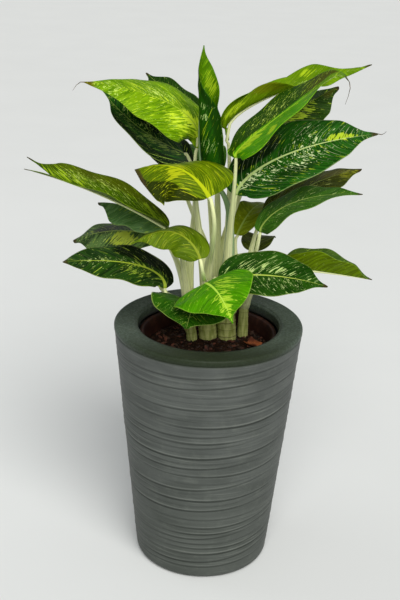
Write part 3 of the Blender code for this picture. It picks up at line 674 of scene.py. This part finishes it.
def soil_coat():
    coat = Coat("dark_compost", roughness=0.95, Specular_IOR_Level=0.1)
    spot = coat.place()
    crumb = coat.noise(spot, 160.0, detail=5, roughness=0.65)
    fibre = coat.noise(spot, 420.0, detail=2)
    colour = coat.over(
        coat.mix(coat.rise(crumb, 0.38, 0.66), (22, 13, 9), (56, 34, 22)),
        (coat.rise(fibre, 0.62, 0.74) * 0.5, (96, 62, 40)),
    )
    return coat.feed(Base_Color=colour, Normal=coat.bump(crumb + 0.4 * fibre, 0.003, 0.9))


def chip_coat(name, dark, light):
    """Coir and bark: fibres along each chip, and a tone of its own."""
    coat = Coat(name, roughness=0.85)
    spot = coat.place()
    tone = coat.noise(spot, 45.0, detail=1)
    fibre = coat.noise(spot, 700.0, detail=3)
    colour = coat.mix(coat.rise(0.7 * tone + 0.3 * fibre, 0.4, 0.62), dark, light)
    return coat.feed(Base_Color=colour, Normal=coat.bump(fibre, 0.0012, 0.8))


def dried_coat():
    coat = Coat("dried_leaf_thread", roughness=0.7)
    band = coat.noise(coat.place(), 260.0, detail=2)
    colour = coat.mix(coat.rise(band, 0.4, 0.65), (52, 38, 22), (108, 84, 48))
    return coat.feed(Base_Color=colour, Normal=coat.bump(band, 0.0003, 0.5))


def floor_coat():
    coat = Coat("pale_floor", roughness=0.7)
    grain = coat.noise(coat.place(), 3.0, detail=2)
    return coat.feed(Base_Color=coat.mix(grain, (220, 223, 222), (225, 228, 227)))


# Shapes.


def stood(name, data):
    """An object in the scene for a mesh, a lamp or a camera."""
    thing = bpy.data.objects.new(name, data)
    bpy.context.collection.objects.link(thing)
    return thing


def made(name, bm, *coats):
    """The bmesh as an object with its coats."""
    mesh = bpy.data.meshes.new(name)
    bm.to_mesh(mesh)
    bm.free()
    for coat in coats:
        mesh.materials.append(coat)
    return stood(name, mesh)


def piece(name, bm, *coats, body="root", stands_for=(), slot=None):
    """The bmesh as a finished piece that rides on the body."""
    thing = made(name, bm, *coats)
    thing.data.polygons.foreach_set("use_smooth", [True] * len(thing.data.polygons))
    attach(thing, body)
    if stands_for:
        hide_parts(*stands_for)
    return thing


def arc(centre, radius, start, end, steps):
    """Points (radius, height) of an arc, angles in degrees from +R towards +Z."""
    angles = [math.radians(start + (end - start) * k / steps) for k in range(steps + 1)]
    return [(centre[0] + radius * math.cos(a), centre[1] + radius * math.sin(a)) for a in angles]


def turned(profile, sides):
    """A profile of (radius, height) points, spun once round the Z axis."""
    bm = bmesh.new()
    points = [bm.verts.new((radius, 0, height)) for radius, height in profile]
    edges = [bm.edges.new((points[k - 1], points[k])) for k in range(len(points))]
    bmesh.ops.spin(
        bm, geom=points + edges, cent=(0, 0, 0), axis=(0, 0, 1), angle=2 * math.pi,
        steps=sides, use_merge=True,
    )
    bmesh.ops.remove_doubles(bm, verts=bm.verts, dist=1e-6)
    bmesh.ops.recalc_face_normals(bm, faces=bm.faces)
    return bm


def outer_radius(height):
    return BASE_RADIUS + (RIM_RADIUS - BASE_RADIUS) * height / PLANTER_HEIGHT


def wall_ribs():
    """Each rib's height in the middle, its middle's turn, its reach, its strength and its climb."""
    chance = random.Random(11)
    ribs = []
    for height, strength in RIBS:
        for middle in (0.1, math.pi):
            shift = chance.uniform(-0.5, 0.5)
            climb = RIB_CLIMB * chance.uniform(0.4, 1.4)
            ribs.append((0.001 * height, middle + shift, chance.uniform(1.2, 2.2), strength, climb))
    for k in range(FINE_RIBS):
        height = FINE_RIBS_LOW + FINE_RIBS_SPAN * (k + chance.uniform(-0.4, 0.4)) / FINE_RIBS
        middle = chance.uniform(-math.pi, math.pi)
        ribs.append((height, middle, chance.uniform(0.5, 1.3), chance.uniform(0.08, 0.28), RIB_CLIMB))
    return ribs


def rib_relief(ribs, height, turn):
    """How far the wall stands out at a height and a turn from the front, in parts of the ribs' depth."""
    out = 0.0
    for middle_height, middle, reach, strength, climb in ribs:
        if abs(middle_height - height) > RIB_NEAR:
            continue
        off = (turn - middle + math.pi) % (2 * math.pi) - math.pi
        if abs(off) > reach:
            continue
        rise = climb * (0.6 * off + 0.4 * math.hypot(off, 0.2))
        step = (height - middle_height - rise) / RIB_STEP
        if abs(step) > RIB_STEPS_OUT:
            continue
        fade = math.cos(0.5 * math.pi * off / reach) ** 0.7
        out += strength * fade * step * math.exp(-0.5 * step * step)
    return out


def planter_piece():
    top = PLANTER_HEIGHT
    groove = top - RIM_BAND
    flange = top - FLANGE_LOW
    foot = arc((BASE_RADIUS - FOOT_ROUND + 0.001, FOOT_ROUND), FOOT_ROUND, -90, -8, 8)
    rise = (groove - 0.003 - FOOT_ROUND) / WALL_RINGS
    wall = [(outer_radius(z), z) for z in (FOOT_ROUND + rise * k for k in range(1, WALL_RINGS + 1))]
    band = [
        (RIM_RADIUS - GROOVE_DEPTH - 0.0004, groove - 0.0016),
        (RIM_RADIUS - GROOVE_DEPTH, groove),
        (RIM_RADIUS - 0.0012, groove + 0.0012),
        (RIM_RADIUS - 0.0002, groove + 0.0024),
    ]
    edge = arc((RIM_RADIUS - RIM_ROUND, top - RIM_ROUND), RIM_ROUND, 0, 90, 8)
    flat = []
    for k in range(1, 9):
        dip = RIM_DIP * math.sin(math.pi * k / 8)
        flat.append((RIM_RADIUS - RIM_ROUND - RIM_FLAT * k / 8, top - dip))
    lip = arc((OPENING_RADIUS + LIP_ROUND, top - LIP_ROUND - 0.001), LIP_ROUND, 90, 180, 6)
    under = [(OPENING_RADIUS, top - 0.018), (OPENING_RADIUS + WALL, flange)]
    under += [(outer_radius(flange) - WALL - 0.004, flange)]
    inside = [(outer_radius(z) - WALL, z) for z in (0.44, 0.40, 0.34, 0.28, SHELF_TOP)]
    cavity = [(0.11, SHELF_TOP), (0.06, SHELF_TOP), (0.0, SHELF_TOP)]
    outside = foot + wall + band + edge + flat + lip
    bm = turned(outside + under + inside + cavity + [(0.0, 0.0)], PLANTER_SIDES)
    ribs = wall_ribs()
    relief_layer = bm.verts.layers.float_vector.new("rib")
    for vert in bm.verts:
        x, y, z = vert.co
        radius = math.hypot(x, y)
        if FOOT_ROUND < z < groove - 0.002 and radius > outer_radius(z) - 0.5 * WALL:
            turn = math.atan2(y, x) - FRONT
            fade = min(1.0, (z - FOOT_ROUND) / 0.012, (groove - 0.002 - z) / 0.008)
            # The rib relief is kept for the painted highlight and painted shadow line at each rib.
            relief = fade * rib_relief(ribs, z, turn)
            vert[relief_layer] = (relief, 0.0, 0.0)
            grown = 1 + RIB_DEPTH * relief / radius
            vert.co.x, vert.co.y = x * grown, y * grown
    piece("planter_ribbed", bm, planter_coat(), stands_for=("planter",), slot="planter")


def grower_pot_piece():
    low = SHELF_TOP + GAP
    high = low + POT_HEIGHT
    inner_top = POT_TOP_RADIUS - POT_WALL
    outer, inner = [], []
    for k in range(POT_RINGS + 1):
        share = k / POT_RINGS
        radius = POT_BASE_RADIUS + (POT_TOP_RADIUS - POT_BASE_RADIUS) * share
        outer.append((radius, low + POT_FOOT + POT_OUTER_RISE * share))
        radius = inner_top + (POT_BASE_RADIUS - POT_WALL - inner_top) * share
        inner.append((radius, high - POT_LIP - POT_INNER_RISE * share))
    profile = [(0.0, low), (0.06, low), (POT_BASE_RADIUS - POT_FOOT, low)] + outer
    profile += [
        (POT_RIM_RADIUS, high - POT_RIM_DROP),
        (POT_RIM_RADIUS, high - 0.002),
        (POT_RIM_RADIUS - 0.0006, high - 0.0006),
        (POT_RIM_RADIUS - 0.002, high),
        (POT_TOP_RADIUS + 0.001, high),
        (POT_TOP_RADIUS - 0.0004, high - 0.001),
    ]
    floor = low + POT_WALL
    profile += inner + [(POT_BASE_RADIUS - POT_INNER_START, floor), (0.06, floor), (0.0, floor)]
    bm = turned(profile, POT_SIDES)
    piece("grower_pot_rimmed", bm, pot_coat(), stands_for=("grower_pot",), slot="grower_pot")


def pot_inside(height):
    """The pot's inner radius at a height."""
    low = SHELF_TOP + GAP + POT_INNER_START
    high = SHELF_TOP + GAP + POT_HEIGHT - POT_LIP
    share = (height - low) / (high - low)
    return POT_BASE_RADIUS + (POT_TOP_RADIUS - POT_BASE_RADIUS) * share - POT_WALL


def soil_height(x, y):
    """The compost's surface: a low mound with shallow waves."""
    mound = SOIL_MOUND * (1 - (x * x + y * y) / POT_TOP_RADIUS**2)
    return SOIL_TOP + mound + SOIL_WAVE * math.sin(61 * x + 1.0) * math.cos(47 * y - 0.4)


def soil_piece():
    low = SHELF_TOP + GAP + POT_INNER_START + 2 * GAP
    side = [(pot_inside(z) - 2 * GAP, z) for z in (low, SOIL_TOP)]
    crown = []
    for k in range(1, SOIL_RINGS):
        crown.append((pot_inside(SOIL_TOP) * (1 - k / SOIL_RINGS), SOIL_TOP + 0.001))
    bm = turned([(0.0, low)] + side + crown + [(0.0, SOIL_TOP + 0.001)], SOIL_SIDES)
    chance = random.Random(5)
    for vert in bm.verts:
        if vert.co.z > SOIL_TOP + 0.0005:
            vert.co.z = soil_height(vert.co.x, vert.co.y) + chance.uniform(-SOIL_GRAIN, SOIL_GRAIN)
    piece("compost", bm, soil_coat(), stands_for=("soil",), slot="soil")


def strewn(name, count, seed, sizes, coat):
    """Chips of bark and coir, each a small lump pressed flat and turned its own way."""
    chance = random.Random(seed)
    bm = bmesh.new()
    for _ in range(count):
        turn = chance.uniform(0, 2 * math.pi)
        radius = STREWN_RADIUS * math.sqrt(chance.random())
        x, y = radius * math.cos(turn), radius * math.sin(turn)
        long = chance.uniform(*sizes)
        spin = Matrix.Rotation(chance.uniform(0, 2 * math.pi), 4, "Z")
        lean = Matrix.Rotation(chance.uniform(-0.5, 0.5), 4, "X")
        lean = lean @ Matrix.Rotation(chance.uniform(-0.4, 0.4), 4, "Y")
        wide = long * chance.uniform(0.25, 0.7)
        size = Matrix.Diagonal((long, wide, long * chance.uniform(0.15, 0.35), 1.0))
        lie = Matrix.Translation((x, y, soil_height(x, y) + 0.12 * long)) @ spin @ lean @ size
        for vert in bmesh.ops.create_icosphere(bm, subdivisions=1, radius=0.5, matrix=lie)["verts"]:
            vert.co += Vector([chance.uniform(-0.09, 0.09) * long for _ in range(3)])
    piece(name, bm, coat, slot="soil")


def bark_curl(place, turn, coat):
    """A flake of bark, curled up at its edges."""
    bm = bmesh.new()
    bmesh.ops.create_grid(bm, x_segments=16, y_segments=10, size=1.0)
    for vert in bm.verts:
        bend = CURL_BEND * (vert.co.x + 0.15 * vert.co.y)
        rise = CURL_RADIUS * (1 - math.cos(bend)) + 0.002 * vert.co.y * vert.co.y
        vert.co = Vector((CURL_RADIUS * math.sin(bend), 0.5 * CURL_LENGTH * vert.co.y, rise))
    lie = Matrix.Translation(place) @ Matrix.Rotation(turn, 4, "Z")
    bmesh.ops.transform(bm, matrix=lie, verts=bm.verts)
    thing = piece("bark_curl", bm, coat, slot="soil")
    thick = thing.modifiers.new("thickness", "SOLIDIFY")
    thick.thickness = CURL_THICKNESS


# Stalks and canes.


def posed(place, turn, size):
    """The matrix that sizes a ring, turns it and puts it at a place."""
    return Matrix.Translation(place) @ turn.to_matrix().to_4x4() @ Matrix.Scale(size, 4)


def tube(path, radii, sides, grooved=0.0, rings=None):
    """A tube along the points, closed at both ends. Its attribute holds the turn round it, the length
    along it, and its share of the whole or its ring scars."""
    bm = bmesh.new()
    skin = bm.verts.layers.float_vector.new("stalk")
    along = (path[1] - path[0]).normalized()
    turn = UP.rotation_difference(along)
    place = posed(path[0], turn, radii[0])
    ring = bmesh.ops.create_circle(bm, cap_ends=True, segments=sides, radius=1.0)["verts"]
    for vert in ring:
        angle = math.atan2(vert.co.y, vert.co.x)
        vert.co *= 1 - grooved * math.exp(-((angle - 0.5 * math.pi) / 0.45) ** 2)
        vert[skin] = (angle, 0.0, 0.0)
    bmesh.ops.transform(bm, matrix=place, verts=ring)
    edges = [edge for edge in bm.edges if edge.verts[0] in ring and edge.verts[1] in ring]
    walked = 0.0
    for k in range(1, len(path)):
        ahead = path[min(k + 1, len(path) - 1)] - path[k - 1]
        turn = along.rotation_difference(ahead) @ turn
        along = ahead.normalized()
        walked += (path[k] - path[k - 1]).length
        moved = posed(path[k], turn, radii[k])
        grown = bmesh.ops.extrude_edge_only(bm, edges=edges)["geom"]
        ring = [item for item in grown if isinstance(item, bmesh.types.BMVert)]
        edges = [item for item in grown if isinstance(item, bmesh.types.BMEdge) and item.is_boundary]
        bmesh.ops.transform(bm, matrix=moved @ place.inverted(), verts=ring)
        for vert in ring:
            vert[skin] = (vert[skin].x, walked, rings[k] if rings else k / (len(path) - 1))
        place = moved
    bmesh.ops.edgeloop_fill(bm, edges=edges)
    bmesh.ops.recalc_face_normals(bm, faces=bm.faces)
    return bm


def settled(name):
    """A leaf's shape: the usual settings and its own."""
    return SimpleNamespace(**{**BLADE_USUAL, **LEAVES[name]})


def between(values, t):
    """A value of evenly spaced ones, read at t from 0 to 1."""
    place = t * (len(values) - 1)
    k = min(int(place), len(values) - 2)
    return values[k] + (values[k + 1] - values[k]) * (place - k)


def rib_point(leaf, t):
    """The midrib, bowed up and to one side of the straight line from base to tip."""
    base, tip = Vector(leaf.base), Vector(leaf.tip)
    chord = tip - base
    side = chord.cross(UP).normalized()
    lift = side.cross(chord).normalized()
    s = t ** (math.log(0.5) / math.log(leaf.crest))
    bow = 4 * s * (1 - s)
    nod = max(0.0, (t - HOOK_START) / (1 - HOOK_START)) ** 2
    bowed = lift * leaf.arch + side * leaf.sway
    return base + chord * t + bowed * bow - UP * leaf.hook * nod


def rib_direction(leaf, t):
    step = 0.02
    return (rib_point(leaf, min(t + step, 1.0)) - rib_point(leaf, max(t - step, 0.0))).normalized()


def half_width(leaf, t, across=0.0):
    """Half the blade's width at t, with the skew putting one side's widest place nearer the tip."""
    m = leaf.widest - leaf.skew * math.copysign(1.0, across)
    rise = 0.55
    shape = (t / m) ** rise * ((1 - t) / (1 - m)) ** (rise * (1 - m) / m)
    drip = min(1.0, max(0.0, (t - leaf.drip) / DRIP_LENGTH))
    drawn = 1 - (1 - leaf.drawn) * drip * drip * (3 - 2 * drip)
    return NECK * (1 - t) + DRIP_TIP * t + 0.5 * leaf.width * shape * drawn


def blade_axes(leaf, t):
    along = rib_direction(leaf, t)
    face = Vector(leaf.face[0]).lerp(Vector(leaf.face[1]), t)
    right = along.cross(face).normalized()
    return along, right, right.cross(along)


def blade_point(leaf, t, across):
    """A point of the blade: t runs from base to tip, across from -1 to 1."""
    along, right, normal = blade_axes(leaf, t)
    reach = abs(across) * half_width(leaf, t, across)
    cup = 0.5 * math.radians(between(leaf.cup, t))
    bend = cup * abs(across)
    out, up = reach, 0.0
    if across and abs(cup) >= 0.01:
        out, up = reach * math.sin(bend) / bend, reach * (1 - math.cos(bend)) / bend
    if leaf.roll:
        centre = half_width(leaf, t, across) / cup
        swell = 1 + leaf.roll * across * min(1.0, cup / math.pi)
        out, up = out * swell, centre + (up - centre) * swell
    fold = math.radians(between(leaf.fold, t))
    out, up = out * math.cos(fold) - up * math.sin(fold), out * math.sin(fold) + up * math.cos(fold)
    edge = math.sin(2 * math.pi * (leaf.waves * t + leaf.phase + 0.3 * (across > 0)))
    up += leaf.wave * across * across * edge * math.sin(math.pi * t) ** 0.5
    if leaf.fork and across > 0:
        up += FORK_LIFT * max(0.0, (t - leaf.fork) / (1 - leaf.fork))
    back = leaf.lobe * max(0.0, reach - NECK) / (0.5 * leaf.width) * (1 - t) ** 3
    return rib_point(leaf, t) + right * math.copysign(out, across) + normal * up - along * back


def row_place(share):
    """Rows lie closer together at the base and the tip, where the outline turns."""
    return 0.5 * share + 0.25 * (1 - math.cos(math.pi * share))


def leaf_piece(name):
    """A blade of one skin, given its thickness by a modifier. A forked one has a slit from its tip."""
    leaf = settled(name)
    column = 2 / BLADE_COLUMNS
    length = (Vector(leaf.tip) - Vector(leaf.base)).length
    bm = bmesh.new()
    grain = bm.verts.layers.float_vector.new("blade")
    lay = bm.verts.layers.float_vector.new("lay")
    bmesh.ops.create_grid(bm, x_segments=BLADE_COLUMNS, y_segments=BLADE_ROWS, size=1.0)
    slit = []
    for face in bm.faces:
        middle = face.calc_center_median()
        if leaf.fork and row_place((middle.y + 1) / 2) > leaf.fork and 0 < middle.x < column:
            slit.append(face)
    for vert in bm.verts:
        t = row_place((vert.co.y + 1) / 2)
        across = vert.co.x
        if leaf.fork and across > 0.5 * column:
            ahead = (t - leaf.fork) / (1 - leaf.fork)
            cut = 0.02 * column + 0.16 * min(1.0, 2 * ahead)
            if ahead < 0:
                cut = column * min(1.0, max(0.02, -8 * ahead))
            across = cut + (across - column) / (1 - column) * (1 - cut)
        out = across * half_width(leaf, t, across)
        vert[grain] = (out, t * length, across)
        vert[lay] = (t, across, 0.0)
        quilt = QUILT * math.sin(230 * (t * length - 0.7 * abs(out)))
        normal = blade_axes(leaf, t)[2]
        vert.co = blade_point(leaf, t, across) + normal * quilt * abs(across) * (1 - abs(across)) * 3
    if slit:
        bmesh.ops.delete(bm, geom=slit, context="FACES")
    thing = piece(name + "_blade", bm, leaf_top(name), leaf_underside(name), stands_for=(name,))
    thick = thing.modifiers.new("thickness", "SOLIDIFY")
    thick.thickness = BLADE
    thick.offset = 0.0
    thick.material_offset = 1


def bezier(a, b, c, d, t):
    s = 1 - t
    return a * s**3 + b * (3 * s * s * t) + c * (3 * s * t * t) + d * t**3


def stalk_piece(name, coat):
    """A leaf's stalk, from inside its cane to its blade, and on as the midrib under the blade."""
    leaf = settled(name)
    cane = SimpleNamespace(**CANES[leaf.shoot])
    ahead = rib_direction(leaf, 0.0)
    end = rib_point(leaf, 0.0)
    neck = end - ahead * 2 * PETIOLE_END
    foot = Vector((*cane.foot, SOIL_TOP))
    top = Vector(cane.top)
    start = foot.lerp(top, STALK_START)
    reach = (neck - start).length
    leave = start + (top - foot).normalized() * reach * 0.45
    arrive = neck - (ahead + UP).normalized() * reach * 0.25
    path, radii = [], []
    for k in range(STALK_STEPS + 1):
        share = k / STALK_STEPS
        path.append(bezier(start, leave, arrive, neck, share))
        sheath = (1 - min(1.0, share / 0.75)) ** 1.2
        radius = (PETIOLE_FOOT + (PETIOLE_END - PETIOLE_FOOT) * share**0.8) * (1 + sheath)
        radii.append(min(radius * leaf.stalk, (0.6 + 4.0 * share) * cane.radius))
    for k in range(MIDRIB_STEPS + 1):
        t = MIDRIB_REACH * k / MIDRIB_STEPS
        radius = 0.0002 + 0.0026 * (1 - t) ** 1.1
        path.append(rib_point(leaf, t) - blade_axes(leaf, t)[2] * radius)
        radii.append(radius * (leaf.stalk if k == 0 else 1.0))
    piece(name + "_stalk", tube(path, radii, 12, grooved=0.16), coat, slot="stem")


def cane_piece(name, coat):
    cane = SimpleNamespace(**CANES[name])
    foot = Vector((*cane.foot, SOIL_TOP - CANE_ROOT))
    knee = Vector((*cane.foot, SOIL_TOP + CANE_KNEE))
    top = Vector(cane.top)
    path, radii, rings = [foot], [cane.radius], [0.0]
    chance = random.Random(name)
    scars = []
    scar = FIRST_SCAR
    while scar < SCARRED_LENGTH:
        scars.append(scar)
        scar += chance.uniform(*SCAR_GAPS)
    for k in range(CANE_STEPS + 1):
        share = k / CANE_STEPS
        height = share * (top - knee).length
        ring = max(math.exp(-(((height - place) / SCAR_HALF) ** 2)) for place in scars)
        path.append(knee.lerp(top, share))
        radii.append(cane.radius * (between(CANE_TAPER, share) + 0.05 * ring))
        rings.append(ring)
    bm = tube(path, radii, 24, rings=rings)
    piece(name + "_cane", bm, coat, stands_for=(name,), slot="stem")


def thread_piece(name, steps, coat):
    """The dried thread at a leaf's tip, from the tip through points given as steps from it."""
    tip = rib_point(settled(name), 1.0)
    corners = [Vector((0, 0, 0))] + [Vector(step) for step in steps]
    path, radii = [], []
    count = 4 * (len(corners) - 1)
    for k in range(count + 1):
        path.append(tip + between(corners, k / count))
        radii.append(THREAD * (1 - 0.7 * k / count))
    piece(name + "_thread", tube(path, radii, 6), coat, slot="stem")


# Stage.


# The camera's pitch and roll in degrees, its lens in millimetres and its place, all worked out from the
# rim and the wall in the photograph.
CAMERA_PITCH = 21.87
CAMERA_ROLL = 1.80
CAMERA_LENS = 64.9
CAMERA_PLACE = (-0.017, -1.850, 1.265)
FLOOR_HALF = 14.0


def camera():
    pitch, roll = math.radians(CAMERA_PITCH), math.radians(CAMERA_ROLL)
    ahead = Vector((0, math.cos(pitch), -math.sin(pitch)))
    right = Vector((1, 0, 0))
    above = right.cross(ahead)
    across = right * math.cos(roll) + above * math.sin(roll)
    upward = above * math.cos(roll) - right * math.sin(roll)
    data = bpy.data.cameras.new("camera")
    data.lens = CAMERA_LENS
    data.sensor_width = 36.0
    eye = stood("camera", data)
    turn = Matrix((across, upward, -ahead)).transposed().to_4x4()
    eye.matrix_world = Matrix.Translation(CAMERA_PLACE) @ turn
    bpy.context.scene.camera = eye


def soft_light(name, kind, place, target, power, colour, **shape):
    """A lamp of Blender's own kind at a place, shining towards a target."""
    data = bpy.data.lights.new(name, kind)
    data.energy = power
    data.color = colour
    for setting, value in shape.items():
        setattr(data, setting, value)
    lamp = stood(name, data)
    aim = Vector(target) - Vector(place)
    lamp.matrix_world = Matrix.Translation(place) @ aim.to_track_quat("-Z", "Y").to_matrix().to_4x4()


def studio():
    middle = (0, 0, 0.55)
    soft_light("key", "SUN", (0.45, -1.8, 2.4), middle, 3.1, (1.0, 0.98, 0.95), angle=math.radians(45))
    soft_light("window", "AREA", (-1.8, 0.6, 1.9), middle, 5, (0.92, 0.96, 1.0), size=1.2)
    world = bpy.data.worlds.new("studio")
    world.use_nodes = True
    sky = world.node_tree.nodes["Background"]
    sky.inputs["Color"].default_value = (0.97, 0.98, 1.0, 1.0)
    sky.inputs["Strength"].default_value = 0.33
    bpy.context.scene.world = world
    bpy.context.scene.view_settings.view_transform = "Standard"
    bm = bmesh.new()
    bmesh.ops.create_grid(bm, x_segments=1, y_segments=1, size=FLOOR_HALF)
    floor = made("floor", bm, floor_coat())


camera()
studio()
planter_piece()
grower_pot_piece()
soil_piece()
strewn("compost_crumbs", 520, 21, (0.004, 0.010), chip_coat("dark_coir", (28, 17, 11), (70, 44, 28)))
strewn("bark_chips", 90, 22, (0.009, 0.018), chip_coat("red_bark", (48, 22, 14), (108, 58, 38)))
bark_curl((0.084, -0.006, 0.4375), 0.9, chip_coat("curled_bark", (92, 40, 18), (158, 84, 40)))
smooth_bark = cane_coat("pale_cane_bark", 0.25)
ringed_bark = cane_coat("ringed_cane_bark", 0.85)
for shoot_name in CANES:
    cane_piece(shoot_name, ringed_bark if shoot_name == "shoot_centre" else smooth_bark)
green_stalk = stalk_coat("cream_green_stalk", (230, 236, 176), (150, 162, 84))
blue_stalk = stalk_coat("young_leaf_sheath", (138, 168, 118), (96, 124, 70))
for leaf_name in LEAVES:
    leaf_piece(leaf_name)
    stalk_piece(leaf_name, blue_stalk if leaf_name == "leaf_young" else green_stalk)
thread = dried_coat()
for leaf_name, thread_steps in THREADS.items():
    thread_piece(leaf_name, thread_steps, thread)
